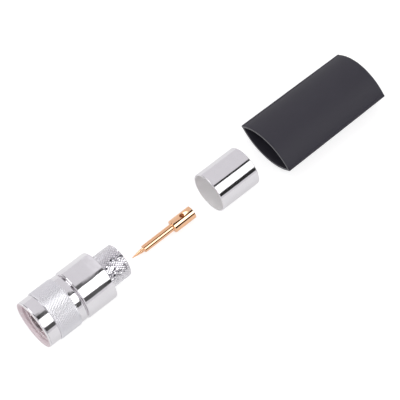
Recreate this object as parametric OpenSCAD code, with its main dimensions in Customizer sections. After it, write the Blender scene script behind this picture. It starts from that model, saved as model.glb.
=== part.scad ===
// Crimp coaxial connector for thick low-loss cable, as it is supplied:
// the plug, its centre pin, its crimp ferrule and its heat-shrink sleeve, laid out in a row.
// Millimetres. +X runs along the row from the plug's mouth to the sleeve, +Z is up,
// and every piece rests on the plane z = 0.

/* [Coupling nut] */
// Length of the nut from its mouth to its rear edge
nut_len = 18; // [17.2:0.1:20]
// Diameter of the smooth ring at the mouth
nut_ring_d = 20; // [19.4:0.1:20.3]
// Length of the smooth ring
nut_ring_len = 5.4; // [4:0.1:7]
// Diameter over the crests of the grip
nut_grip_d = 20.6; // [20.5:0.1:21.4]
// Length of the grip
nut_grip_len = 9.6; // [8:0.1:10.6]
// Diameter of the smooth collar behind the grip
nut_collar_d = 20; // [19.4:0.1:20.3]
// Number of slanted ribs round the grip
nut_ribs = 68; // [48:1:72]
// Height of a rib
nut_rib_h = 0.25; // [0.15:0.05:0.35]
// Angle between the ribs and the nut's axis, in degrees
nut_rib_angle = 28; // [15:1:35]
// Rounding of the collar's rear edge
nut_edge = 0.9; // [0.4:0.1:1.2]
// Length of the bevel on the outside of the mouth
nut_nose_len = 0.4; // [0.3:0.1:1.2]
// Depth of that bevel
nut_nose_drop = 0.25; // [0.1:0.05:0.5]
// Width of the bevel inside the mouth
nut_mouth_bevel = 0.7; // [0.3:0.1:0.9]
// Bore that takes the mating jack's thread, at the thread's major diameter
thread_d = 15.9; // [15.88:0.01:16]
// Distance from the front of the body's spigot to the nut's inner shoulder
shoulder_set = 1; // [0.6:0.1:1.4]

/* [Spring contact] */
// Bore of the outer contact
contact_bore_d = 7; // [6.8:0.05:7.2]
// Outside of the outer contact, which enters the jack
contact_d = 8.03; // [7.9:0.01:8.12]
// How far the contact's end lies behind the nut's mouth
contact_recess = 1.5; // [0.8:0.1:2.2]
// Number of slots that make the contact springy
contact_slots = 6; // [4:1:8]
// Width of a slot
contact_slot_w = 0.4; // [0.3:0.05:0.5]
// Length of a slot
contact_slot_len = 4.6; // [3:0.1:4.8]
// Diameter of the contact's root, which is pressed into the body
contact_root_d = 10; // [9.6:0.1:10.4]
// Length of the root
contact_root_len = 3.4; // [2.6:0.1:3.8]

/* [Connector body] */
// Diameter of the body's barrel
body_d = 20.7; // [20.4:0.1:21.4]
// Length of the barrel
body_len = 13.4; // [11:0.1:15]
// Bevel round both ends of the barrel
body_bevel = 0.6; // [0.2:0.1:0.8]
// Diameter of the spigot that the nut turns on
spigot_d = 14; // [13.6:0.1:14.4]
// Length of the spigot inside the nut
spigot_len = 6.9; // [6.6:0.1:7.2]
// Diameter over the crests of the crimp neck
neck_d = 14; // [13.6:0.1:14.4]
// Length of the crimp neck
neck_len = 9.8; // [8:0.1:11]
// Number of slanted cuts each way round the neck
neck_cuts = 44; // [36:1:48]
// Depth of those cuts
neck_cut_h = 0.32; // [0.2:0.02:0.36]
// Angle between the cuts and the body's axis, in degrees
neck_cut_angle = 36; // [25:1:40]
// Bore for the stripped cable
cable_bore_d = 11.8; // [11.6:0.1:12]

/* [Retaining ring and gasket] */
// Radial width of the split ring
ring_wall = 1; // [0.8:0.05:1.1]
// Thickness of the split ring along the axis
ring_t = 1; // [0.8:0.05:1.1]
// Opening of the split ring, in degrees
ring_gap = 24; // [12:1:40]
// Distance from the front of the spigot to the ring
ring_from_front = 2.9; // [2.4:0.1:3.2]
// Inside diameter of the gasket
gasket_bore_d = 10; // [9.8:0.1:10.8]
// Outside diameter of the gasket
gasket_d = 14.6; // [14:0.1:15]
// Thickness of the gasket
gasket_t = 1.2; // [0.8:0.1:1.5]

/* [Insulator] */
// Diameter of the insulator's rear flange
bead_flange_d = 11; // [10.8:0.1:11.4]
// Length of the insulator's front part
bead_len = 4.7; // [4:0.1:5.4]
// Length of the insulator's rear flange
bead_flange_len = 1.5; // [1:0.1:2]

/* [Centre pin] */
// Diameter of the mating tip
tip_d = 1.64; // [1.6:0.01:1.68]
// Length of the mating tip
tip_len = 5.6; // [5:0.1:7]
// Length of the point at its end
point_len = 4.2; // [2:0.1:4.8]
// Diameter of the shaft
shaft_d = 3.04; // [3:0.01:3.08]
// Length of the shaft
shaft_len = 14.2; // [12:0.1:15]
// Diameter of the solder barrel
barrel_d = 5.35; // [5.2:0.05:6]
// Length of the solder barrel
barrel_len = 10; // [9:0.1:12]
// Bore of the barrel, for the cable's inner conductor
conductor_d = 4.6; // [4.5:0.05:4.7]
// Depth of that bore
conductor_depth = 8; // [7:0.1:8.4]
// Diameter of the solder hole in the barrel's side
solder_hole_d = 2; // [1.4:0.1:2.2]
// Distance from the barrel's front to the solder hole
solder_hole_at = 5.3; // [4.2:0.1:6]
// Turn of the solder hole from the top of the pin as it lies, to the left, in degrees
solder_hole_turn = 9; // [-30:1:30]

/* [Crimp ferrule] */
// Thickness of the ferrule's wall
ferrule_wall = 0.6; // [0.5:0.05:1.1]
// Radial room in the ferrule for the braid over the crimp neck
braid_room = 1; // [0.5:0.05:1.1]
// Length of the ferrule
ferrule_len = 18.7; // [16:0.1:21]

/* [Heat-shrink sleeve] */
// Width of the flattened sleeve
sleeve_w = 28.2; // [26:0.1:30]
// Height of the flattened sleeve at its middle
sleeve_h = 12.6; // [9:0.1:15]
// Thickness of the sleeve's wall
sleeve_wall = 0.9; // [0.7:0.05:1.2]
// Length of the sleeve
sleeve_len = 53; // [48:0.1:58]

/* [Layout of the row] */
// Space between the plug and the centre pin's tip
space_to_pin = 6.7; // [5:0.1:12]
// Space between the centre pin and the ferrule
space_to_ferrule = 8.3; // [7:0.1:12]
// Space between the ferrule and the sleeve
space_to_sleeve = 12.4; // [10.5:0.1:15]
// How far the plug's axis lies to the right of the sleeve's
plug_aside = 1.8; // [0:0.1:3]
// How far the pin's tip lies to the right of the sleeve's axis
pin_aside = 0.4; // [0:0.1:3]
// Turn of the pin on the floor, its barrel to the right, in degrees
pin_turn = 1.7; // [-4:0.1:4]
// How far the ferrule's axis lies to the right of the sleeve's
ferrule_aside = 1.5; // [0:0.1:3]

/* [Fits] */
// Radial clearance of the turning nut
run_clear = 0.05; // [0.03:0.01:0.08]
// Radial clearance of a pressed or pushed-in piece
seat_clear = 0.02; // [0.01:0.01:0.04]
// Space along the axis between the nut and the body's barrel
nut_gap = 0.3; // [0.2:0.05:0.5]

/* [Hidden] */
$fn = 96;
eps = 0.05;                       // overrun of a cut
core_sink = 0.06;                 // how far a smooth core stays under the roots of its ribs
slices_per_band = 8;

// stations along the plug, from the nut's mouth
grip_at = nut_ring_len;
collar_at = grip_at + nut_grip_len;
barrel_at = nut_len + nut_gap;
spigot_at = barrel_at - spigot_len;
thread_end = spigot_at + shoulder_set;
neck_at = barrel_at + body_len;
plug_len = neck_at + neck_len;
bead_at = spigot_at + contact_root_len;
flange_at = bead_at + bead_len;
flange_end = flange_at + bead_flange_len;
ring_at = spigot_at + ring_from_front;
groove_clear = 0.1;               // play of the split ring along the axis

// radii of the plug
grip_r = nut_grip_d / 2;
body_r = body_d / 2;
spigot_r = spigot_d / 2;
spigot_bore_r = spigot_r + run_clear;
root_r = contact_root_d / 2;
cable_r = cable_bore_d / 2;
flange_r = bead_flange_d / 2;
ring_r = spigot_bore_r + ring_wall / 2;             // outside of the split ring
body_groove_r = ring_r - ring_wall - ring_wall / 2; // the ring can close to the spigot
nut_groove_r = ring_r + 2 * run_clear;
plug_r = max(grip_r, body_r);                       // the plug lies on its fattest part
bead_hole_r = shaft_d / 2 + seat_clear;

// radii of the ferrule
ferrule_bore_r = neck_d / 2 + braid_room;
ferrule_r = ferrule_bore_r + ferrule_wall;

// the pin lies on the front edge of its barrel and the front edge of its shaft
barrel_lead = 0.35;               // bevel at the front of the barrel
shaft_lead = 0.12;                // bevel at the front of the shaft
pin_len = tip_len + shaft_len + barrel_len;
pin_tilt = atan((barrel_d - shaft_d) / 2 / (shaft_len + barrel_lead - shaft_lead));
pin_axis_z = shaft_d / 2 - (tip_len + shaft_lead) * tan(pin_tilt);

// the row is centred on the origin
pin_at = plug_len + space_to_pin;
ferrule_at = pin_at + pin_len * cos(pin_tilt) + space_to_ferrule;
sleeve_at = ferrule_at + ferrule_len + space_to_sleeve;
row_len = sleeve_at + sleeve_len;

// Stands a piece built along Z down along X
module along_x() { rotate([0, 90, 0]) children(); }

// Puts a piece on the plug's axis, with x = 0 at the nut's mouth
module on_plug(x = 0) { translate([x - row_len / 2, -plug_aside, plug_r]) along_x() children(); }

// Solid of revolution about Z from [radius, station] points
module turned(points) { rotate_extrude() polygon(points); }

// Plain bore from station a to station b
module bored(r, a, b) { translate([0, 0, a]) cylinder(r = r, h = b - a); }

// Outline with n pointed teeth between two radii
module toothed(n, r_root, r_crest) {
    polygon([for (i = [0:2 * n - 1])
        let (r = i % 2 == 0 ? r_crest : r_root, a = 180 * i / n) [r * cos(a), r * sin(a)]]);
}

// Band of slanted ribs
module ribbed_band(n, r_root, r_crest, len, angle) {
    turn = len * tan(angle) / r_crest * 180 / PI;
    linear_extrude(height = len, twist = turn, slices = slices_per_band, convexity = 4)
        toothed(n, r_root, r_crest);
}

module coupling_nut() {
    rib_root_r = grip_r - nut_rib_h;
    core_r = rib_root_r - core_sink;
    front_r = nut_ring_d / 2;
    collar_r = nut_collar_d / 2;
    round_r = collar_r - nut_edge;
    color("gainsboro") on_plug() difference() {
        union() {
            turned(concat(
                [[0, 0], [front_r - nut_nose_drop, 0], [front_r, nut_nose_len], [front_r, grip_at],
                 [core_r, grip_at], [core_r, collar_at], [collar_r, collar_at]],
                [for (a = [0:15:90]) [round_r + nut_edge * cos(a), nut_len - nut_edge + nut_edge * sin(a)]],
                [[0, nut_len]]));
            translate([0, 0, grip_at])
                ribbed_band(nut_ribs, rib_root_r, grip_r, nut_grip_len, nut_rib_angle);
        }
        bored(thread_d / 2, -eps, thread_end);
        translate([0, 0, -eps])
            cylinder(r1 = thread_d / 2 + nut_mouth_bevel + eps, r2 = thread_d / 2, h = nut_mouth_bevel + eps);
        bored(spigot_bore_r, thread_end - eps, nut_len + eps);
        bored(nut_groove_r, ring_at - groove_clear, ring_at + ring_t + groove_clear);
    }
}

module retaining_ring() {
    color("goldenrod") on_plug(ring_at) difference() {
        cylinder(r = ring_r, h = ring_t);
        translate([0, 0, -eps]) cylinder(r = ring_r - ring_wall, h = ring_t + 2 * eps);
        translate([0, 0, -eps]) linear_extrude(ring_t + 2 * eps)
            polygon([[0, 0], for (s = [-1, 1]) 2 * ring_r * [cos(ring_gap / 2), s * sin(ring_gap / 2)]]);
    }
}

module gasket() {
    color("indianred") on_plug(spigot_at - gasket_t) difference() {
        cylinder(d = gasket_d, h = gasket_t);
        translate([0, 0, -eps]) cylinder(d = gasket_bore_d, h = gasket_t + 2 * eps);
    }
}

module outer_contact() {
    tip_edge = 0.15;
    color("silver") on_plug() difference() {
        turned([[contact_bore_d / 2, contact_recess], [contact_d / 2 - tip_edge, contact_recess],
                [contact_d / 2, contact_recess + tip_edge], [contact_d / 2, spigot_at],
                [root_r - seat_clear, spigot_at], [root_r - seat_clear, bead_at],
                [contact_bore_d / 2, bead_at]]);
        for (i = [0:contact_slots - 1]) rotate(360 * (i + 0.5) / contact_slots)
            translate([0, -contact_slot_w / 2, contact_recess - eps])
                cube([contact_d, contact_slot_w, contact_slot_len + eps]);
    }
}

module connector_body() {
    neck_root_r = neck_d / 2 - neck_cut_h;
    neck_core_r = neck_root_r - core_sink;
    end_edge = 0.3;
    color("gainsboro") on_plug() difference() {
        union() {
            turned([[0, spigot_at], [spigot_r - end_edge, spigot_at], [spigot_r, spigot_at + end_edge],
                    [spigot_r, barrel_at], [body_r - body_bevel, barrel_at],
                    [body_r, barrel_at + body_bevel], [body_r, neck_at - body_bevel],
                    [body_r - body_bevel, neck_at], [neck_core_r, neck_at],
                    [neck_core_r, plug_len], [0, plug_len]]);
            translate([0, 0, neck_at - eps]) intersection() {
                ribbed_band(neck_cuts, neck_root_r, neck_d / 2, neck_len - end_edge, neck_cut_angle);
                ribbed_band(neck_cuts, neck_root_r, neck_d / 2, neck_len - end_edge, -neck_cut_angle);
            }
        }
        bored(root_r, spigot_at - eps, flange_at);
        bored(flange_r, flange_at, flange_end);
        bored(cable_r, flange_end, plug_len + eps);
        difference() {
            bored(spigot_r + eps, ring_at - groove_clear, ring_at + ring_t + groove_clear);
            bored(body_groove_r, spigot_at, barrel_at);
        }
    }
}

module insulator() {
    color("white") on_plug() turned([
        [bead_hole_r, bead_at], [root_r - seat_clear, bead_at], [root_r - seat_clear, flange_at],
        [flange_r - seat_clear, flange_at], [flange_r - seat_clear, flange_end], [bead_hole_r, flange_end]]);
}

// The pin is turned with its tip at station 0, then laid down on its barrel and shaft
module centre_pin() {
    shaft_at = tip_len;
    pin_barrel_at = tip_len + shaft_len;
    nose_r = 0.12;                // blunt end of the point
    color("burlywood")
        translate([pin_at - row_len / 2, -pin_aside, 0]) rotate([0, -pin_tilt, -pin_turn])
        translate([0, 0, pin_axis_z]) along_x() difference() {
            turned([[0, 0], [nose_r, 0], [tip_d / 2, point_len], [tip_d / 2, shaft_at],
                    [shaft_d / 2 - shaft_lead, shaft_at], [shaft_d / 2, shaft_at + shaft_lead],
                    [shaft_d / 2, pin_barrel_at], [barrel_d / 2 - barrel_lead, pin_barrel_at],
                    [barrel_d / 2, pin_barrel_at + barrel_lead], [barrel_d / 2, pin_len], [0, pin_len]]);
            bored(conductor_d / 2, pin_len - conductor_depth, pin_len + eps);
            translate([0, 0, pin_barrel_at + solder_hole_at]) rotate([0, -90, -solder_hole_turn])
                cylinder(d = solder_hole_d, h = barrel_d);
        }
}

module crimp_ferrule() {
    lip = 0.2;
    color("gainsboro") translate([ferrule_at - row_len / 2, -ferrule_aside, ferrule_r])
        along_x() turned([
            [ferrule_bore_r, 0], [ferrule_r - lip, 0], [ferrule_r, lip],
            [ferrule_r, ferrule_len - lip], [ferrule_r - lip, ferrule_len],
            [ferrule_bore_r, ferrule_len]]);
}

// Outline of a flattened tube, or of its inside: two arcs that meet in the side creases
module lens(w, h, inset = 0) {
    arc_r = (w * w + h * h) / (4 * h);
    intersection_for (s = [-1, 1])
        translate([0, s * (arc_r - h / 2)]) circle(r = arc_r - inset, $fn = 180);
}

module heat_shrink_sleeve() {
    color("dimgray") translate([sleeve_at - row_len / 2, 0, sleeve_h / 2])
        rotate([90, 0, 90]) linear_extrude(sleeve_len) difference() {
            lens(sleeve_w, sleeve_h);
            lens(sleeve_w, sleeve_h, sleeve_wall);
        }
}

coupling_nut();
retaining_ring();
gasket();
outer_contact();
connector_body();
insulator();
centre_pin();
crimp_ferrule();
heat_shrink_sleeve();
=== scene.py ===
import math

import bpy
from mathutils import Euler, Matrix, Vector


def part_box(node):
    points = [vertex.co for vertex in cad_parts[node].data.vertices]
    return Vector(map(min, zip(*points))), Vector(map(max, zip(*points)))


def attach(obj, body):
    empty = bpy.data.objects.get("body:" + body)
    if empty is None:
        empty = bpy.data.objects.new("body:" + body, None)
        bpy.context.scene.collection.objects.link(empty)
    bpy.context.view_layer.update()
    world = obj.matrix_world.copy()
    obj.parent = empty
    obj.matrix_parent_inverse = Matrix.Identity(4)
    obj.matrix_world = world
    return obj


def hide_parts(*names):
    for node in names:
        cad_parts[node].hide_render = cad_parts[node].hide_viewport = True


mm = 0.001
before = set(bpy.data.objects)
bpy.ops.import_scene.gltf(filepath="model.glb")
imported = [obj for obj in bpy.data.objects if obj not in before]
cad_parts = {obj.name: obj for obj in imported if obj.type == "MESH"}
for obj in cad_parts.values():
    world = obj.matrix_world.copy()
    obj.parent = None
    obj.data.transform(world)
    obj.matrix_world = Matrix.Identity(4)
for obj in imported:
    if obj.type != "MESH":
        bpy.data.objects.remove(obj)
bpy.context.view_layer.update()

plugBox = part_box("connector_body")
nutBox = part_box("coupling_nut")
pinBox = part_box("centre_pin")
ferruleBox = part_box("crimp_ferrule")
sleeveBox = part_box("heat_shrink_sleeve")


def middle(box, axis):
    return (box[0][axis] + box[1][axis]) / 2


plugAxis = Vector((nutBox[0][0], middle(plugBox, 1), middle(plugBox, 2)))  # at the nut's mouth


# Modelling helpers. Lengths in the value dictionaries are millimetres.

def startAlone():
    bpy.ops.object.select_all(action="DESELECT")


def makeActive(piece):
    startAlone()
    piece.select_set(True)
    bpy.context.view_layer.objects.active = piece


def editMode(piece):
    makeActive(piece)
    bpy.ops.object.mode_set(mode="EDIT")


def objectMode():
    bpy.ops.object.mode_set(mode="OBJECT")


def selectVerts(piece, wanted):
    # picks vertices by place; the piece is in edit mode before and after
    bpy.ops.mesh.select_all(action="DESELECT")
    bpy.ops.mesh.select_mode(type="VERT")
    objectMode()
    for v in piece.data.vertices:
        v.select = wanted(v)
    bpy.ops.object.mode_set(mode="EDIT")


def ringCircle(name, vertices, radius, station=0.0):
    # a bare circle round the X axis, sizes in millimetres
    startAlone()
    bpy.ops.mesh.primitive_circle_add(vertices=vertices, radius=radius * mm)
    piece = bpy.context.object
    piece.name = piece.data.name = name
    piece.rotation_euler = (0, math.pi / 2, 0)
    piece.location = (station * mm, 0, 0)
    bpy.ops.object.transform_apply(location=True, rotation=True, scale=True)
    return piece


def pullRing(step, scale=(1, 1), station=0.0, turn=0.0):
    # carries the selected open ring forward; step and station in millimetres
    bpy.ops.mesh.extrude_edges_move(TRANSFORM_OT_translate={"value": (step * mm, 0, 0)})
    centre = (station * mm, 0, 0)
    if scale != (1, 1):
        bpy.ops.transform.resize(value=(1, scale[0], scale[1]), center_override=centre)
    if turn:
        bpy.ops.transform.rotate(value=turn, orient_axis="X", center_override=centre)


def turnedPiece(name, profile, closed=True, segments=192):
    # profile: [station, radius] in millimetres, walked once round the section
    station, radius = profile[0]
    piece = ringCircle(name, segments, radius, station)
    editMode(piece)
    bpy.ops.mesh.select_all(action="SELECT")
    for nextStation, nextRadius in profile[1:] + (profile[:1] if closed else []):
        k = nextRadius / radius
        pullRing(nextStation - station, (k, k), nextStation)
        station, radius = nextStation, nextRadius
    closeUp(piece)
    return piece


def closeUp(piece):
    bpy.ops.mesh.select_all(action="SELECT")
    bpy.ops.mesh.remove_doubles(threshold=0.0005 * mm)
    bpy.ops.mesh.fill_holes(sides=0)
    bpy.ops.mesh.select_all(action="SELECT")
    bpy.ops.mesh.normals_make_consistent(inside=False)
    objectMode()


def addModifier(piece, kind, **values):
    makeActive(piece)
    modifier = piece.modifiers.new(kind.title(), kind)
    for key, value in values.items():
        setattr(modifier, key, value)
    bpy.ops.object.modifier_apply(modifier=modifier.name)


def softenEdges(piece, width, segments=2, angle=30):
    addModifier(piece, "BEVEL", width=width * mm, segments=segments, limit_method="ANGLE",
                angle_limit=math.radians(angle))


def smoothTurned(piece, angle=32):
    # smooth round the turn, with the flats keeping their own normals
    makeActive(piece)
    bpy.ops.object.shade_smooth_by_angle(angle=math.radians(angle))
    addModifier(piece, "WEIGHTED_NORMAL", mode="FACE_AREA", weight=50, keep_sharp=True)


def settle(piece, at, turn=(0, 0, 0)):
    # moves the finished piece to its place and puts that place into its mesh
    makeActive(piece)
    piece.rotation_euler = turn
    piece.location = at
    bpy.ops.object.transform_apply(location=True, rotation=True, scale=True)


def arc(centre, radius, start, end, steps):
    angles = [math.radians(start + (end - start) * i / steps) for i in range(steps + 1)]
    return [(centre[0] + radius[0] * math.sin(a), centre[1] + radius[1] * math.cos(a)) for a in angles]


# Shader helpers: nodes and their links, written as expressions.

class Wire:
    # one socket of a node tree; an expression on it adds its Math nodes
    def __init__(self, tree, socket=None):
        self.tree, self.socket = tree, socket

    def add(self, kind, settings=None, inputs=None, out=0):
        node = self.tree.nodes.new(kind)
        for name, value in (settings or {}).items():
            if name == "stops":
                self.setStops(node.color_ramp, value)
            else:
                setattr(node, name, value)
        for key, value in (inputs or {}).items():
            if isinstance(value, Wire):
                self.tree.links.new(value.socket, node.inputs[key])
            else:
                node.inputs[key].default_value = value
        return Wire(self.tree, node.outputs[out] if len(node.outputs) else None)

    def setStops(self, ramp, stops):
        while len(ramp.elements) < len(stops):
            ramp.elements.new(1.0)
        for element, (place, colour) in zip(ramp.elements, stops):
            element.position = place
            element.color = (*colour, 1) if len(colour) == 3 else colour

    def other(self, name):
        node = self.socket.node
        return Wire(self.tree, node.outputs[name])

    def maths(self, operation, *others, clamp=False):
        return self.add("ShaderNodeMath", {"operation": operation, "use_clamp": clamp},
                        dict(enumerate((self, *others))))

    def swapped(self, operation, first):
        return self.add("ShaderNodeMath", {"operation": operation}, {0: first, 1: self})

    def __add__(self, b):
        return self.maths("ADD", b)

    __radd__ = __add__

    def __sub__(self, b):
        return self.maths("SUBTRACT", b)

    def __rsub__(self, b):
        return self.swapped("SUBTRACT", b)

    def __mul__(self, b):
        return self.maths("MULTIPLY", b)

    __rmul__ = __mul__

    def __truediv__(self, b):
        return self.maths("DIVIDE", b)

    def __rtruediv__(self, b):
        return self.swapped("DIVIDE", b)


def grey(value):
    return (value, value, value)


def newMaterial(name):
    material = bpy.data.materials.new(name)
    material.use_nodes = True
    tree = material.node_tree
    tree.nodes.clear()
    return material, Wire(tree)


def noiseAt(wire, vector, scale, detail=2.0, roughness=0.5):
    return wire.add("ShaderNodeTexNoise", None,
                    {"Vector": vector, "Scale": scale, "Detail": detail, "Roughness": roughness})


def mixColour(wire, factor, a, b):
    node = wire.add("ShaderNodeMix", {"data_type": "RGBA"}, {0: factor}, out=2)
    for index, value in ((6, a), (7, b)):  # the Mix node's two colour inputs
        socket = node.socket.node.inputs[index]
        if isinstance(value, Wire):
            wire.tree.links.new(value.socket, socket)
        else:
            socket.default_value = (*value, 1)
    return node


def centredCoords(wire, centre, turn=(0, 0, 0)):
    # Object coordinates moved so that the turning axis is X through the origin
    here = wire.add("ShaderNodeTexCoord", out="Object")
    moved = wire.add("ShaderNodeVectorMath", {"operation": "SUBTRACT"}, {0: here, 1: tuple(centre)})
    if turn == (0, 0, 0):
        return moved
    # a texture mapping undoes the turn that the piece was laid down with
    return wire.add("ShaderNodeMapping", {"vector_type": "TEXTURE"}, {"Vector": moved, "Rotation": turn})


def latheFinish(name, values, centre, turn=(0, 0, 0)):
    # turned and plated metal: fine rings from the tool, slow waves, finger smudges, bright worn edges
    material, wire = newMaterial(name)
    here = centredCoords(wire, centre, turn)
    split = wire.add("ShaderNodeSeparateXYZ", None, {0: here})
    x, y, z = split, split.other("Y"), split.other("Z")
    radius = (y * y + z * z).maths("SQRT")
    ringAt = x + radius * values["faceRings"]  # end faces have rings too
    rings = wire.add("ShaderNodeTexNoise", {"noise_dimensions": "1D"},
                     {"W": ringAt, "Scale": values["ringScale"], "Detail": 3.0, "Roughness": 0.7})
    waves = noiseAt(wire, here, values["waveScale"])
    smudges = noiseAt(wire, here, values["smudgeScale"], detail=5.0, roughness=0.62)
    specks = noiseAt(wire, here, values["speckScale"], roughness=0.6)
    worn = wire.add("ShaderNodeNewGeometry", out="Pointiness")
    edge = (worn - values["wornFrom"]).maths("MULTIPLY", values["wornGain"], clamp=True)
    tint = mixColour(wire, smudges, values["colour"], values["shade"])
    tint = mixColour(wire, edge * values["wornTint"], tint, values["edge"])
    height = wire.add("ShaderNodeBump", None,
                      {"Strength": 1.0, "Distance": values["waveDepth"] * mm, "Height": waves})
    height = wire.add("ShaderNodeBump", None,
                      {"Strength": 1.0, "Distance": values["ringDepth"] * mm, "Height": rings,
                       "Normal": height})
    height = wire.add("ShaderNodeBump", None,
                      {"Strength": 1.0, "Distance": values["speckDepth"] * mm, "Height": specks,
                       "Normal": height})
    rough = smudges * values["smudge"] + values["roughness"] - edge * values["wornPolish"]
    shader = wire.add("ShaderNodeBsdfPrincipled", None,
                      {"Base Color": tint, "Metallic": values["metallic"], "Roughness": rough,
                       "Normal": height})
    wire.add("ShaderNodeOutputMaterial", None, {0: shader})
    return material


def plainFinish(name, values, centre):
    # moulded or extruded plastics and rubber
    material, wire = newMaterial(name)
    here = centredCoords(wire, centre)
    clouds = noiseAt(wire, here, values["cloudScale"], detail=4.0, roughness=0.6)
    grain = noiseAt(wire, here, values["grainScale"], detail=3.0, roughness=0.65)
    tint = mixColour(wire, clouds, values["colour"], values["shade"])
    height = wire.add("ShaderNodeBump", None,
                      {"Strength": 1.0, "Distance": values["grainDepth"] * mm, "Height": grain})
    rough = clouds * values["smudge"] + values["roughness"]
    shader = wire.add("ShaderNodeBsdfPrincipled", None,
                      {"Base Color": tint, "Roughness": rough, "Normal": height,
                       "Specular IOR Level": values["gloss"]})
    wire.add("ShaderNodeOutputMaterial", None, {0: shader})
    return material


def giveMaterial(piece, material):
    piece.data.materials.clear()
    piece.data.materials.append(material)


def giveWhere(piece, material, place, wanted):
    # faces chosen by their station and radius in millimetres take a further material, such as a duller
    # finish, painted light, painted shade and painted highlights
    piece.data.materials.append(material)
    back = place.inverted()
    for face in piece.data.polygons:
        point = back @ face.center / mm
        if wanted(point.x, math.hypot(point.y, point.z)):
            face.material_index = len(piece.data.materials) - 1


def finishPiece(piece, material, body, slot, *nodes):
    giveMaterial(piece, material)
    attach(piece, body)
    if nodes:
        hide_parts(*nodes)


# The coupling nut: its shell, the ribs of the grip, and the thread.

nutSizes = {
    "length": 18.0,
    "frontRadius": 10.0,
    "noseLength": 0.3,
    "noseDrop": 0.16,
    "noseEdge": 0.05,
    "lineFrom": 0.08, "lineTo": 0.38, "lineDepth": 0.14,  # fine turned line behind the nose
    "lineSlope": 0.04,
    "reliefLength": 0.3, "reliefSlope": 0.06,  # relief in front of the grip
    "gripStart": 5.4,
    "gripEnd": 14.4,
    "tailEnd": 15.3,
    "collarStart": 14.6,
    "coreRadius": 9.82,
    "reliefRadius": 9.72,
    "collarRadius": 10.0,
    "rearRound": (1.0, 0.9),
    "rearBevel": 0.25,
    "roundSteps": 7,
    "softening": 0.07,
    "boreRadius": 7.05,
    "grooveFrom": 14.2, "grooveTo": 15.4, "grooveRadius": 7.65,  # room for the retaining ring
    "threadRadius": 7.95,
    "threadEnd": 12.4,
    "mouthBevel": 0.95,
}


def makeNutShell(s):
    nose, front, bore = s["noseLength"], s["frontRadius"], s["boreRadius"]
    rimRadius = front - s["noseDrop"]
    lineStart, lineEnd = nose + s["lineFrom"], nose + s["lineTo"]
    lineRadius = front - s["lineDepth"]
    reliefStart = s["gripStart"] - s["reliefLength"]
    roundCentre = (s["length"] - s["rearRound"][0], s["collarRadius"] - s["rearRound"][1])
    profile = [
        (0, s["threadRadius"] + s["mouthBevel"]),
        (0, rimRadius - s["noseEdge"]),
        (2 * s["noseEdge"], rimRadius + s["noseEdge"]),
        (nose, front),
        (lineStart, front),
        (lineStart + s["lineSlope"], lineRadius),
        (lineEnd - s["lineSlope"], lineRadius),
        (lineEnd, front),
        (reliefStart, front),
        (reliefStart + s["reliefSlope"], s["reliefRadius"]),
        (s["gripStart"] + s["reliefLength"], s["coreRadius"]),
        (s["collarStart"], s["coreRadius"]),
        (s["collarStart"] + s["reliefSlope"], s["collarRadius"]),
        *arc(roundCentre, s["rearRound"], 0, 90, s["roundSteps"]),
        (s["length"], bore + s["rearBevel"]),
        (s["length"] - s["rearBevel"], bore),
        (s["grooveTo"], bore),
        (s["grooveTo"], s["grooveRadius"]),
        (s["grooveFrom"], s["grooveRadius"]),
        (s["grooveFrom"], bore),
        (s["threadEnd"], bore),
        (s["threadEnd"], s["threadRadius"]),
        (s["mouthBevel"], s["threadRadius"]),
    ]
    piece = turnedPiece("nutShell", profile)
    softenEdges(piece, s["softening"])
    smoothTurned(piece)
    settle(piece, plugAxis)
    return piece


gripSizes = {
    "ribs": 68,
    "crestRadius": 10.3,
    "ribProfile": (1.0, 0.9957, 0.9857, 0.9814, 0.9857, 0.9957),
    "angle": 28,
    "step": 0.3,
    "frontShare": 0.988,  # the ribs rise from the ring
    "frontStep": 0.12,
    "tailSteps": 4,
    "tailRadius": 9.98,
    "innerRadius": 9.6,
}


def makeNutGrip(s, nut):
    phases = len(s["ribProfile"])
    piece = ringCircle("nutGrip", s["ribs"] * phases, s["crestRadius"], nut["gripStart"])
    editMode(piece)
    for phase, k in enumerate(s["ribProfile"]):
        if k != 1:
            selectVerts(piece, lambda v: v.index % phases == phase)
            bpy.ops.transform.resize(value=(1, k, k), center_override=(0, 0, 0))
    bpy.ops.mesh.select_all(action="SELECT")
    bpy.ops.transform.resize(value=(1, s["frontShare"], s["frontShare"]), center_override=(0, 0, 0))
    stations = [nut["gripStart"] + s["frontStep"]]
    while stations[-1] < nut["gripEnd"] - 0.01:
        stations.append(stations[-1] + s["step"])
    stations[-1] = nut["gripEnd"]
    tailLength = nut["tailEnd"] - nut["gripEnd"]
    stations += [nut["gripEnd"] + tailLength * (i + 1) / s["tailSteps"] for i in range(s["tailSteps"])]
    here, size = nut["gripStart"], s["frontShare"]
    for station in stations:
        along = max(0, (station - nut["gripEnd"]) / tailLength)
        wanted = 1 - along * (1 - s["tailRadius"] / s["crestRadius"])
        turn = (station - here) * math.tan(math.radians(s["angle"])) / s["crestRadius"]
        pullRing(station - here, (wanted / size, wanted / size), station, turn)
        here, size = station, wanted
    inner = s["innerRadius"] / (s["crestRadius"] * size)
    pullRing(0, (inner, inner), here)
    pullRing(nut["gripStart"] - here, (1, 1), nut["gripStart"])
    bpy.ops.mesh.select_all(action="DESELECT")
    bpy.ops.mesh.select_non_manifold(extend=False)
    bpy.ops.mesh.bridge_edge_loops()
    closeUp(piece)
    smoothTurned(piece, angle=50)
    settle(piece, plugAxis)
    return piece


threadSizes = {
    "pitch": 1.058,
    "turns": 9,
    "start": 1.6,
    "rootRadius": 7.99,
    "crestRadius": 7.6,
    "crestWidth": 0.2,
    "rootWidth": 0.8,
    "steps": 48,
}


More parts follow.
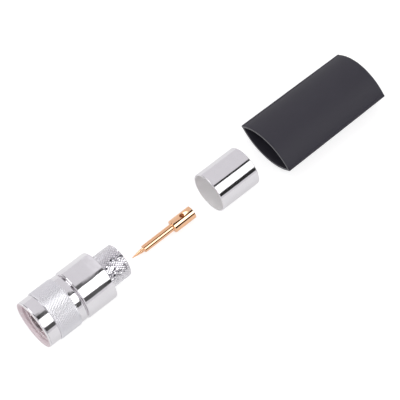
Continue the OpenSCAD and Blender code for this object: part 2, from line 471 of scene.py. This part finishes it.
def makeThreadRidge(s):
    startAlone()
    bpy.ops.mesh.primitive_plane_add(size=1)
    piece = bpy.context.object
    piece.name = piece.data.name = "threadRidge"
    depth = s["rootRadius"] - s["crestRadius"]
    editMode(piece)
    bpy.ops.mesh.select_all(action="SELECT")
    bpy.ops.transform.rotate(value=math.pi / 2, orient_axis="X", center_override=(0, 0, 0))
    bpy.ops.transform.resize(value=(s["rootWidth"] * mm, 1, depth * mm), center_override=(0, 0, 0))
    selectVerts(piece, lambda v: v.co.z < 0)
    bpy.ops.transform.resize(value=(s["crestWidth"] / s["rootWidth"], 1, 1), center_override=(0, 0, 0))
    bpy.ops.mesh.select_all(action="SELECT")
    middleRadius = (s["rootRadius"] + s["crestRadius"]) / 2
    bpy.ops.transform.translate(value=(s["start"] * mm, 0, middleRadius * mm))
    bpy.ops.mesh.delete(type="ONLY_FACE")
    objectMode()
    addModifier(piece, "SCREW", axis="X", angle=2 * math.pi, screw_offset=s["pitch"] * mm,
                iterations=s["turns"], steps=s["steps"], render_steps=s["steps"])
    editMode(piece)
    closeUp(piece)
    smoothTurned(piece, angle=40)
    settle(piece, plugAxis)
    return piece


# The body: one turned shape, and the diamonds of the crimp neck.

bodySizes = {
    "spigotStart": 11.4,
    "lipStart": 18.06,
    "lipRadius": 9.1,
    "barrelStart": 18.3,
    "neckStart": 31.7,
    "length": 41.5,
    "radius": 10.35,
    "bevel": 0.55,
    "spigotRadius": 7.0,
    "spigotBevel": 0.3,
    "grooveFrom": 14.2, "grooveTo": 15.4, "grooveRadius": 6.05,  # holds the retaining ring
    "neckCore": 6.62,
    "neckEdge": 0.2,
    "cableRadius": 5.9, "cableEdge": 0.1, "cableEnd": 21.0,
    "flangeSeat": 19.5, "flangeRadius": 5.5, "contactRadius": 5.0,
    "bevelShare": (0.4, 0.28),
    "softening": 0.06,
}


def makeBodyBarrel(s):
    radius, bevel, spigot = s["radius"], s["bevel"], s["spigotRadius"]
    inset, drop = bevel * s["bevelShare"][0], bevel * s["bevelShare"][1]
    profile = [
        (s["spigotStart"], s["contactRadius"]),
        (s["spigotStart"], spigot - s["spigotBevel"]),
        (s["spigotStart"] + s["spigotBevel"], spigot),
        (s["grooveFrom"], spigot),
        (s["grooveFrom"], s["grooveRadius"]),
        (s["grooveTo"], s["grooveRadius"]),
        (s["grooveTo"], spigot),
        (s["lipStart"], spigot),
        (s["lipStart"], s["lipRadius"]),
        (s["barrelStart"], s["lipRadius"]),
        (s["barrelStart"], radius - bevel),
        (s["barrelStart"] + inset, radius - drop),
        (s["barrelStart"] + bevel, radius),
        (s["neckStart"] - bevel, radius),
        (s["neckStart"] - inset, radius - drop),
        (s["neckStart"], radius - bevel),
        (s["neckStart"], s["neckCore"]),
        (s["length"] - s["neckEdge"], s["neckCore"]),
        (s["length"], s["neckCore"] - s["neckEdge"]),
        (s["length"], s["cableRadius"] + s["cableEdge"]),
        (s["length"] - s["cableEdge"], s["cableRadius"]),
        (s["cableEnd"], s["cableRadius"]),
        (s["cableEnd"], s["flangeRadius"]),
        (s["flangeSeat"], s["flangeRadius"]),
        (s["flangeSeat"], s["contactRadius"]),
    ]
    piece = turnedPiece("bodyBarrel", profile)
    softenEdges(piece, s["softening"])
    smoothTurned(piece)
    settle(piece, plugAxis)
    return piece


neckSizes = {
    "cuts": 44,
    "rows": 14,
    "rootRadius": 6.7,
    "cutWidth": 0.12,
    "cutDepth": 0.27,
    "uneven": 0.07, "unevenSeed": 11,
    "endGap": 0.3,
    "innerRadius": 6.5,
}


def makeNeckDiamonds(s, body):
    # a grid at the roots, split into diamonds that are inset and raised, with cuts between them
    rowLength = (body["length"] - s["endGap"] - body["neckStart"]) / s["rows"]
    ringCount = 2 * s["cuts"]
    first = body["neckStart"] * mm
    piece = ringCircle("neckDiamonds", ringCount, s["rootRadius"], body["neckStart"])
    editMode(piece)
    bpy.ops.mesh.select_all(action="SELECT")
    for row in range(2):
        pullRing(rowLength)
    objectMode()
    addModifier(piece, "ARRAY", count=s["rows"] // 2, use_relative_offset=False,
                use_constant_offset=True, constant_offset_displace=(2 * rowLength * mm, 0, 0),
                use_merge_vertices=True, merge_threshold=0.01 * mm)
    editMode(piece)
    bpy.ops.mesh.select_all(action="SELECT")
    bpy.ops.mesh.remove_doubles(threshold=0.001 * mm)

    def atCentre(v):
        row = round((v.co.x - first) / (rowLength * mm))
        place = round(math.atan2(v.co.z, v.co.y) / (2 * math.pi) * ringCount)
        return (row + place) % 2 == 1

    selectVerts(piece, lambda v: not atCentre(v))
    bpy.ops.mesh.vert_connect()
    selectVerts(piece, atCentre)
    bpy.ops.mesh.dissolve_verts()
    bpy.ops.mesh.select_mode(type="FACE")
    bpy.ops.mesh.select_all(action="SELECT")
    bpy.ops.mesh.normals_make_consistent(inside=False)
    bpy.ops.mesh.inset(use_individual=True, use_boundary=True, thickness=s["cutWidth"] * mm,
                       depth=s["cutDepth"] * mm)
    # the tool leaves every diamond a little different
    bpy.ops.mesh.select_mode(type="VERT")
    bpy.ops.transform.vertex_random(offset=s["uneven"] * mm, uniform=0.3, normal=0.7, seed=s["unevenSeed"])
    bpy.ops.mesh.select_all(action="DESELECT")
    bpy.ops.mesh.select_non_manifold(extend=False)
    inner = s["innerRadius"] / s["rootRadius"]
    bpy.ops.mesh.extrude_edges_move()
    bpy.ops.transform.resize(value=(1, inner, inner), center_override=(0, 0, 0))
    bpy.ops.mesh.bridge_edge_loops()
    closeUp(piece)
    settle(piece, plugAxis)
    return piece


# The centre pin, lying on its barrel and its shaft.

pinSizes = {
    "tipRadius": 0.82,
    "pointLength": 4.2,
    "tipLength": 5.6,
    "shaftRadius": 1.52,
    "shaftLength": 14.2,
    "barrelRadius": 2.675,
    "barrelLength": 10.0,
    "boreRadius": 2.3,
    "boreDepth": 8.0,
    "holeRadius": 1.0,
    "holeAt": 5.3,
    "holeTurn": 9,
    "drillLength": 6.0,
    "pointStart": 0.04, "pointProfile": ((0.06, 0.11), (0.2, 0.16)),
    "pointBlend": (0.3, 0.04, 0.2),
    "shaftLead": 0.12, "barrelLead": 0.35, "leadRound": (0.08, 0.2),
    "endEdge": (0.1, 0.08), "boreEdge": (0.12, 0.1),
    "boreCentre": 0.2, "boreCone": 0.1,  # the drill's point, nearly flat
    "softening": 0.04,
    "turn": 1.7,
    "aside": 0.4,
    "lift": 0.004,
}
# it lies on the front edge of its barrel and the front edge of its shaft
pinLean = math.atan((pinSizes["barrelRadius"] - pinSizes["shaftRadius"])
                    / (pinSizes["shaftLength"] + pinSizes["barrelLead"] - pinSizes["shaftLead"]))
pinAxisHeight = (pinSizes["shaftRadius"]
                 - (pinSizes["tipLength"] + pinSizes["shaftLead"]) * math.tan(pinLean))
pinTurn = math.radians(pinSizes["turn"])
pinAxis = Vector((pinBox[0][0], -pinSizes["aside"] * mm,
                  (math.cos(pinLean) * pinAxisHeight + pinSizes["lift"]) * mm))


def makeCentrePin(s):
    shaftAt = s["tipLength"]
    barrelAt = shaftAt + s["shaftLength"]
    end = barrelAt + s["barrelLength"]
    tip, shaft, barrel, bore = s["tipRadius"], s["shaftRadius"], s["barrelRadius"], s["boreRadius"]
    before, drop, after = s["pointBlend"]
    floor = end - s["boreDepth"]
    profile = [
        (0, s["pointStart"]),
        *s["pointProfile"],
        (s["pointLength"] - before, tip - drop),
        (s["pointLength"] + after, tip),
        (shaftAt, tip),
        (shaftAt, shaft - s["shaftLead"]),
        (shaftAt + s["shaftLead"], shaft),
        (barrelAt, shaft),
        (barrelAt, barrel - s["barrelLead"]),
        (barrelAt + s["leadRound"][0], barrel - s["leadRound"][1]),
        (barrelAt + s["barrelLead"], barrel),
        (end - s["endEdge"][0], barrel),
        (end, barrel - s["endEdge"][1]),
        (end, bore + s["boreEdge"][1]),
        (end - s["boreEdge"][0], bore),
        (floor, bore),
        (floor - s["boreCone"], s["boreCentre"]),
    ]
    piece = turnedPiece("centrePin", profile, closed=False, segments=128)
    drillSolderHole(piece, s, barrelAt + s["holeAt"])
    softenEdges(piece, s["softening"], angle=40)
    smoothTurned(piece, angle=35)
    settle(piece, pinAxis, (0, -pinLean, -pinTurn))
    return piece


def drillSolderHole(piece, s, station):
    startAlone()
    bpy.ops.mesh.primitive_cylinder_add(vertices=64, radius=s["holeRadius"] * mm,
                                        depth=s["drillLength"] * mm)
    drill = bpy.context.object
    settle(drill, (0, 0, s["drillLength"] / 2 * mm))
    settle(drill, (station * mm, 0, 0), (-math.radians(s["holeTurn"]), 0, 0))
    addModifier(piece, "BOOLEAN", operation="DIFFERENCE", solver="EXACT", object=drill)
    startAlone()
    drill.select_set(True)
    bpy.ops.object.delete()


# The crimp ferrule.

ferruleSizes = {
    "boreRadius": 8.0,
    "radius": 8.596,
    "length": 18.7,
    "lip": 0.2, "innerLip": 0.12,
    "softening": 0.06,
}
ferruleAxis = Vector((ferruleBox[0][0], middle(ferruleBox, 1), middle(ferruleBox, 2)))


def makeFerruleTube(s):
    lip, inner = s["lip"], s["innerLip"]
    profile = [
        (0, s["boreRadius"] + inner),
        (0, s["radius"] - lip),
        (lip, s["radius"]),
        (s["length"] - lip, s["radius"]),
        (s["length"], s["radius"] - lip),
        (s["length"], s["boreRadius"] + inner),
        (s["length"] - inner, s["boreRadius"]),
        (inner, s["boreRadius"]),
    ]
    piece = turnedPiece("ferruleTube", profile)
    softenEdges(piece, s["softening"], angle=20)
    smoothTurned(piece)
    settle(piece, ferruleAxis)
    return piece


# The heat-shrink sleeve, pressed flat on its roll.

sleeveSizes = {
    "width": 28.2,
    "height": 12.58,
    "wall": 0.9,
    "length": 52.96,
    "steps": 44,
    "farWidth": 0.97,
    "circleSteps": 320,
    "creaseRound": 0.35, "creaseSteps": 4,
    "ripple": 0.25, "rippleSize": 14,
    "edgeRound": 0.18,
    "endGap": 0.02,
    "cutEdge": 0.15,
}
sleevePlace = Vector((sleeveBox[0][0], middle(sleeveBox, 1), middle(sleeveBox, 2)))


def makeSleeveTube(s):
    arcRadius = (s["width"] ** 2 + s["height"] ** 2) / (4 * s["height"])
    piece = ringCircle("sleeveTube", s["circleSteps"], arcRadius)
    editMode(piece)
    bpy.ops.mesh.select_all(action="SELECT")
    bpy.ops.transform.translate(value=(0, 0, (s["height"] / 2 - arcRadius) * mm))
    bpy.ops.mesh.bisect(plane_co=(0, 0, 0), plane_no=(0, 0, 1), clear_inner=True)
    objectMode()
    addModifier(piece, "MIRROR", use_axis=(False, False, True), use_clip=True, merge_threshold=0.01 * mm)
    editMode(piece)
    edge = s["width"] / 2 * mm * 0.999  # only the two side creases lie beyond it
    selectVerts(piece, lambda v: abs(v.co.y) > edge)
    bpy.ops.mesh.bevel(offset=s["creaseRound"] * mm, segments=s["creaseSteps"], affect="VERTICES")
    bpy.ops.mesh.select_all(action="SELECT")
    step = s["length"] / s["steps"]
    narrow = 1 - (1 - s["farWidth"]) / s["steps"]
    for i in range(s["steps"]):
        pullRing(step, (narrow, 1), (i + 1) * step)
    bpy.ops.mesh.select_all(action="SELECT")
    bpy.ops.mesh.normals_make_consistent(inside=False)
    objectMode()
    clouds = bpy.data.textures.new("sleeveRipple", "CLOUDS")
    clouds.noise_scale = s["rippleSize"] * mm
    addModifier(piece, "DISPLACE", texture=clouds, strength=-s["ripple"] * mm, mid_level=0.0,
                texture_coords="LOCAL")
    addModifier(piece, "SOLIDIFY", thickness=s["wall"] * mm, offset=-1, use_even_offset=True)
    softenEdges(piece, s["edgeRound"], segments=3, angle=50)
    smoothTurned(piece, angle=45)
    settle(piece, sleevePlace + Vector((s["endGap"] * mm, 0, 0)))
    return piece


# Finishes. Depths are millimetres, and scales are for metres.

platingValues = {
    "colour": (0.83, 0.815, 0.84), "shade": (0.76, 0.745, 0.77), "edge": (0.93, 0.92, 0.93),
    "metallic": 1.0, "roughness": 0.045,
    "smudge": 0.06, "smudgeScale": 240.0,
    "ringScale": 5200.0, "ringDepth": 0.0006, "faceRings": 0.83,
    "waveScale": 130.0, "waveDepth": 0.05,
    "speckScale": 5200.0, "speckDepth": 0.00015,
    "wornFrom": 0.52, "wornGain": 9.0, "wornTint": 0.6, "wornPolish": 0.03,
}
gripValues = dict(platingValues, colour=(0.82, 0.815, 0.845), shade=(0.76, 0.755, 0.79), roughness=0.29,
                  smudge=0.1, waveDepth=0.04, speckDepth=0.0006)
contactValues = dict(platingValues, colour=(0.82, 0.72, 0.74), shade=(0.74, 0.62, 0.65), roughness=0.3)
# the bore, the thread and the mouth's face: a pale pinkish, mostly non-metallic colour, painted light that
# lifts them out of their shade; rougher too
borePaintedLightValues = dict(platingValues, colour=(0.90, 0.78, 0.81), shade=(0.80, 0.68, 0.71), roughness=0.4,
                  smudge=0.12, metallic=0.2)
# the nose: a duller finish, and a whiter, partly non-metallic colour that paints the highlight along its
# bevel
rimDullAndHighlightValues = dict(platingValues, colour=(0.95, 0.94, 0.95), shade=(0.9, 0.89, 0.9), roughness=0.45,
                 metallic=0.5)
# painted shade: darker than the plating, for the cuts of the neck and the fine line of the nut; a little
# rougher too
cutPaintedShadeValues = dict(platingValues, colour=(0.80, 0.79, 0.82), shade=(0.68, 0.67, 0.70), edge=(0.8, 0.8, 0.8),
                 roughness=0.12)
# the ferrule's bore: a satin finish, and a pale, mostly non-metallic colour, painted light against its
# shade
ferruleBoreSatinLightValues = dict(platingValues, colour=(0.93, 0.92, 0.92), shade=(0.88, 0.87, 0.87), roughness=0.5,
                         smudge=0.1, metallic=0.12)
pinValues = dict(platingValues, colour=(0.97, 0.59, 0.35), shade=(0.92, 0.52, 0.31),
                 edge=(0.98, 0.68, 0.45), roughness=0.02, smudge=0.03, ringScale=7000.0, ringDepth=0.0001,
                 waveScale=300.0, waveDepth=0.004, speckDepth=0.00002)
goldBoreValues = dict(pinValues, colour=(0.98, 0.58, 0.28), shade=(0.92, 0.50, 0.22), roughness=0.4,
                      metallic=0.1)
bronzeValues = dict(pinValues, colour=(0.8, 0.52, 0.3), shade=(0.65, 0.4, 0.22), roughness=0.3)
sleeveValues = {
    "colour": (0.022, 0.020, 0.030), "shade": (0.030, 0.028, 0.040),
    "roughness": 0.5, "smudge": 0.14, "gloss": 0.42,
    "cloudScale": 90.0, "grainScale": 2600.0, "grainDepth": 0.02,
}
# the cut ends of the sleeve: a lighter colour, a painted highlight along the rim
shrinkEdgeHighlightValues = dict(sleeveValues, colour=(0.17, 0.17, 0.18), shade=(0.13, 0.13, 0.14))
siliconeValues = {
    "colour": (0.62, 0.12, 0.10), "shade": (0.72, 0.2, 0.16),
    "roughness": 0.4, "smudge": 0.1, "gloss": 0.5,
    "cloudScale": 300.0, "grainScale": 4000.0, "grainDepth": 0.006,
}
ptfeValues = {
    "colour": (0.86, 0.86, 0.84), "shade": (0.8, 0.8, 0.79),
    "roughness": 0.42, "smudge": 0.1, "gloss": 0.4,
    "cloudScale": 200.0, "grainScale": 3000.0, "grainDepth": 0.004,
}

plating = latheFinish("brightPlating", platingValues, plugAxis)
gripPlating = latheFinish("gripPlating", gripValues, plugAxis)
ferrulePlating = latheFinish("ferrulePlating", platingValues, ferruleAxis)
# duller finish with a painted highlight for the nose
rimDullAndHighlight = latheFinish("rimDullAndHighlight", rimDullAndHighlightValues, plugAxis)
# painted shade for the cuts of the neck and the fine line of the nut
cutPaintedShade = latheFinish("cutPaintedShade", cutPaintedShadeValues, plugAxis)
# painted light for the bore, the thread and the mouth's face
borePaintedLight = latheFinish("borePaintedLight", borePaintedLightValues, plugAxis)
# satin finish with painted light for the ferrule's bore
ferruleBoreSatinLight = latheFinish("ferruleBoreSatinLight", ferruleBoreSatinLightValues, ferruleAxis)
contactPlating = latheFinish("contactPlating", contactValues, plugAxis)
goldBore = latheFinish("goldBore", goldBoreValues, pinAxis, (0, -pinLean, -pinTurn))
goldPlating = latheFinish("goldPlating", pinValues, pinAxis, (0, -pinLean, -pinTurn))
springBronze = latheFinish("springBronze", bronzeValues, plugAxis)
shrinkTube = plainFinish("shrinkTube", sleeveValues, sleevePlace)
# painted highlight for the cut ends of the sleeve
shrinkEdgeHighlight = plainFinish("shrinkEdgeHighlight", shrinkEdgeHighlightValues, sleevePlace)
silicone = plainFinish("silicone", siliconeValues, plugAxis)
ptfe = plainFinish("ptfe", ptfeValues, plugAxis)
print("finishes ready")

loose = "plug_and_loose_parts"  # the body that all but the nut rides on
nutShell = makeNutShell(nutSizes)
finishPiece(nutShell, plating, "nut", "bright_plating", "coupling_nut")
plugPlace = Matrix.Translation(plugAxis)
# the nose, the mouth and the floor of the fine line are duller than the outside; the nose is also whiter,
# a painted highlight, the mouth's face and the bore are paler, painted light against their shade, and the
# floor of the fine line is darker, painted shade
nutLimits = {"noseRadius": 9.78, "lineFloor": (9.58, 9.9), "rimStation": 0.4,
             "insideRadius": 9.2, "faceStation": 0.03}
giveWhere(nutShell, cutPaintedShade, plugPlace,
          lambda station, radius: nutLimits["lineFloor"][0] < radius < nutLimits["lineFloor"][1])
# the nose takes the painted highlight
giveWhere(nutShell, rimDullAndHighlight, plugPlace,
          lambda station, radius: station < nutLimits["rimStation"] and radius > nutLimits["noseRadius"])
# the bore and the mouth's face take the painted light
giveWhere(nutShell, borePaintedLight, plugPlace,
          lambda station, radius: (radius < nutLimits["insideRadius"]
                                   or station < nutLimits["faceStation"]
                                   and radius < nutLimits["noseRadius"]))
finishPiece(makeNutGrip(gripSizes, nutSizes), gripPlating, "nut", "bright_plating")
# the thread takes the painted light of the bore
finishPiece(makeThreadRidge(threadSizes), borePaintedLight, "nut", "bright_plating")
print("nut modelled")
finishPiece(makeBodyBarrel(bodySizes), plating, loose, "bright_plating", "connector_body")
neckDiamonds = makeNeckDiamonds(neckSizes, bodySizes)
finishPiece(neckDiamonds, plating, loose, "bright_plating")
cutShadeFloor = neckSizes["rootRadius"] + 0.7 * neckSizes["cutDepth"]  # the sides of the cuts lie below
# the sides of the cuts take painted shade, a darker colour where they lie in shade
giveWhere(neckDiamonds, cutPaintedShade, plugPlace, lambda station, radius: radius < cutShadeFloor)
print("body modelled")
centrePin = makeCentrePin(pinSizes)
finishPiece(centrePin, goldPlating, loose, "gold_plating", "centre_pin")
pinPlace = Matrix.Translation(pinAxis) @ Euler((0, -pinLean, -pinTurn)).to_matrix().to_4x4()
barrelAt = pinSizes["tipLength"] + pinSizes["shaftLength"]
giveWhere(centrePin, goldBore, pinPlace,
          lambda station, radius: station > barrelAt + 1 and radius < pinSizes["barrelRadius"] - 0.06)
ferruleTube = makeFerruleTube(ferruleSizes)
finishPiece(ferruleTube, ferrulePlating, loose, "bright_plating", "crimp_ferrule")
# the bore of the ferrule takes the painted light
giveWhere(ferruleTube, ferruleBoreSatinLight, Matrix.Translation(ferruleAxis),
          lambda station, radius: radius < ferruleSizes["boreRadius"] + 0.03)
sleeveTube = makeSleeveTube(sleeveSizes)
finishPiece(sleeveTube, shrinkTube, loose, "shrink_tube", "heat_shrink_sleeve")
cutEdge = sleeveSizes["cutEdge"]
# the cut ends take the painted highlight
giveWhere(sleeveTube, shrinkEdgeHighlight, Matrix.Translation(sleevePlace),
          lambda station, radius: not cutEdge < station < sleeveSizes["length"] - cutEdge)
print("loose pieces modelled")
giveMaterial(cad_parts["outer_contact"], contactPlating)
giveMaterial(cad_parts["retaining_ring"], springBronze)
giveMaterial(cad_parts["gasket"], silicone)
giveMaterial(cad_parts["insulator"], ptfe)


# Floor, light and camera.

floorValues = {"size": 3.0, "albedo": 0.5, "roughness": 0.9, "seen": 0.7, "mirrored": 0.42}


def makeFloor(s):
    startAlone()
    bpy.ops.mesh.primitive_plane_add(size=s["size"])
    floor = bpy.context.object
    floor.name = "studioFloor"
    material, wire = newMaterial("studioFloor")
    path = wire.add("ShaderNodeLightPath", out="Is Camera Ray")
    mirrored = path.other("Is Glossy Ray") + path.other("Is Transmission Ray")
    shader = wire.add("ShaderNodeBsdfPrincipled", None,
                      {"Base Color": (*grey(s["albedo"]), 1), "Roughness": s["roughness"],
                       "Specular IOR Level": 0.0, "Emission Strength": 1.0,
                       "Emission Color": path * s["seen"] + mirrored * s["mirrored"]})
    wire.add("ShaderNodeOutputMaterial", None, {0: shader})
    giveMaterial(floor, material)


roomValues = {
    "tint": (1.0, 0.98, 1.012),
    "swap": 12.0,  # how sharply the bands change sides where the row is seen from behind
    "softness": 0.8,
    "blend": 0.01,
    # each stretch along the row: overhead flag from-to, strip from-to, end of the side flag, in degrees
    "stretches": [
        {"from": 0.0, "edges": (-10, -7, 20, 55, 90),
         "overhead": 0.003, "strip": 3.2, "side": 0.004, "room": 0.82},
        {"from": 0.188, "edges": (-2, 3, 18.5, 59.5, 79.5),
         "overhead": 0.13, "strip": 1.9, "side": 0.10, "room": 0.79},
        {"from": 0.228, "edges": (2, 17, 18.5, 59.5, 79.5),
         "overhead": 0.03, "strip": 1.9, "side": 0.13, "room": 0.79},
        {"from": 0.262, "edges": (3, 6, 16, 62, 78),
         "overhead": 0.005, "strip": 2.2, "side": 0.01, "room": 0.98},
        {"from": 0.318, "edges": (7, 10, 18.5, 59.5, 79.5),
         "overhead": 0.01, "strip": 1.6, "side": 0.03, "room": 0.79},
    ],
}


def bandRamp(wire, s, stretch, angle):
    fadeFrom, fadeTo, stripFrom, stripTo, flagTo = (degrees / 360 + 0.5 for degrees in stretch["edges"])
    soft = s["softness"] / 360
    over, side, strip = grey(stretch["overhead"]), grey(stretch["side"]), grey(stretch["strip"])
    room = tuple(stretch["room"] * part for part in s["tint"])
    stops = [(fadeFrom, room), (fadeTo, over)]
    for edge, before, after in ((stripFrom, over, strip), (stripTo, strip, side), (flagTo, side, room)):
        stops += [(edge - soft, before), (edge + soft, after)]
    return wire.add("ShaderNodeValToRGB", {"stops": stops}, {0: angle / (2 * math.pi) + 0.5})


def lightRoom(s):
    # bands that run along the row: a flag overhead, a long strip lamp, a side flag, then the pale room
    world = bpy.data.worlds.new("studioRoom")
    bpy.context.scene.world = world
    world.use_nodes = True
    tree = world.node_tree
    tree.nodes.clear()
    wire = Wire(tree)
    here = wire.add("ShaderNodeTexCoord", out="Generated")
    split = wire.add("ShaderNodeSeparateXYZ", None, {0: here})
    x, y, z = split, split.other("Y"), split.other("Z")
    along = x.maths("ABSOLUTE")
    sides = []
    for towards in (-1, 1):
        angle = (y * towards).maths("ARCTAN2", z)
        colour = None
        for stretch in s["stretches"]:
            band = bandRamp(wire, s, stretch, angle)
            if colour is None:
                colour = band
            else:
                reached = ((along - stretch["from"]) / s["blend"]).maths("ADD", 0.0, clamp=True)
                colour = mixColour(wire, reached, colour, band)
        sides.append(colour)
    facing = (x * s["swap"]).maths("ADD", 0.5, clamp=True)
    colour = mixColour(wire, facing, sides[1], sides[0])
    seen = wire.add("ShaderNodeLightPath", out="Is Camera Ray")
    colour = mixColour(wire, seen, colour, (1, 1, 1))
    shader = wire.add("ShaderNodeBackground", None, {"Color": colour, "Strength": 1.0})
    wire.add("ShaderNodeOutputWorld", None, {0: shader})


cameraValues = {
    "azimuth": -41.43, "elevation": 60.0, "distance": 0.6,
    "aim": (-0.00023, 0.00214, 0.0),
    "lens": 137.93, "sensor": 36.0, "clip": (0.01, 20),
}


def placeCamera(s):
    a, e = math.radians(s["azimuth"]), math.radians(s["elevation"])
    back = Vector((math.sin(a) * math.cos(e), -math.cos(a) * math.cos(e), math.sin(e)))
    data = bpy.data.cameras.new("rowCamera")
    data.lens, data.sensor_width = s["lens"], s["sensor"]
    data.clip_start, data.clip_end = s["clip"]
    camera = bpy.data.objects.new("rowCamera", data)
    bpy.context.collection.objects.link(camera)
    camera.rotation_mode = "QUATERNION"
    camera.location = Vector(s["aim"]) + back * s["distance"]
    camera.rotation_quaternion = (-back).to_track_quat("-Z", "Y")
    bpy.context.scene.camera = camera


makeFloor(floorValues)
lightRoom(roomValues)
placeCamera(cameraValues)
bpy.context.scene.view_settings.view_transform = "Standard"
print("floor, light and camera ready")
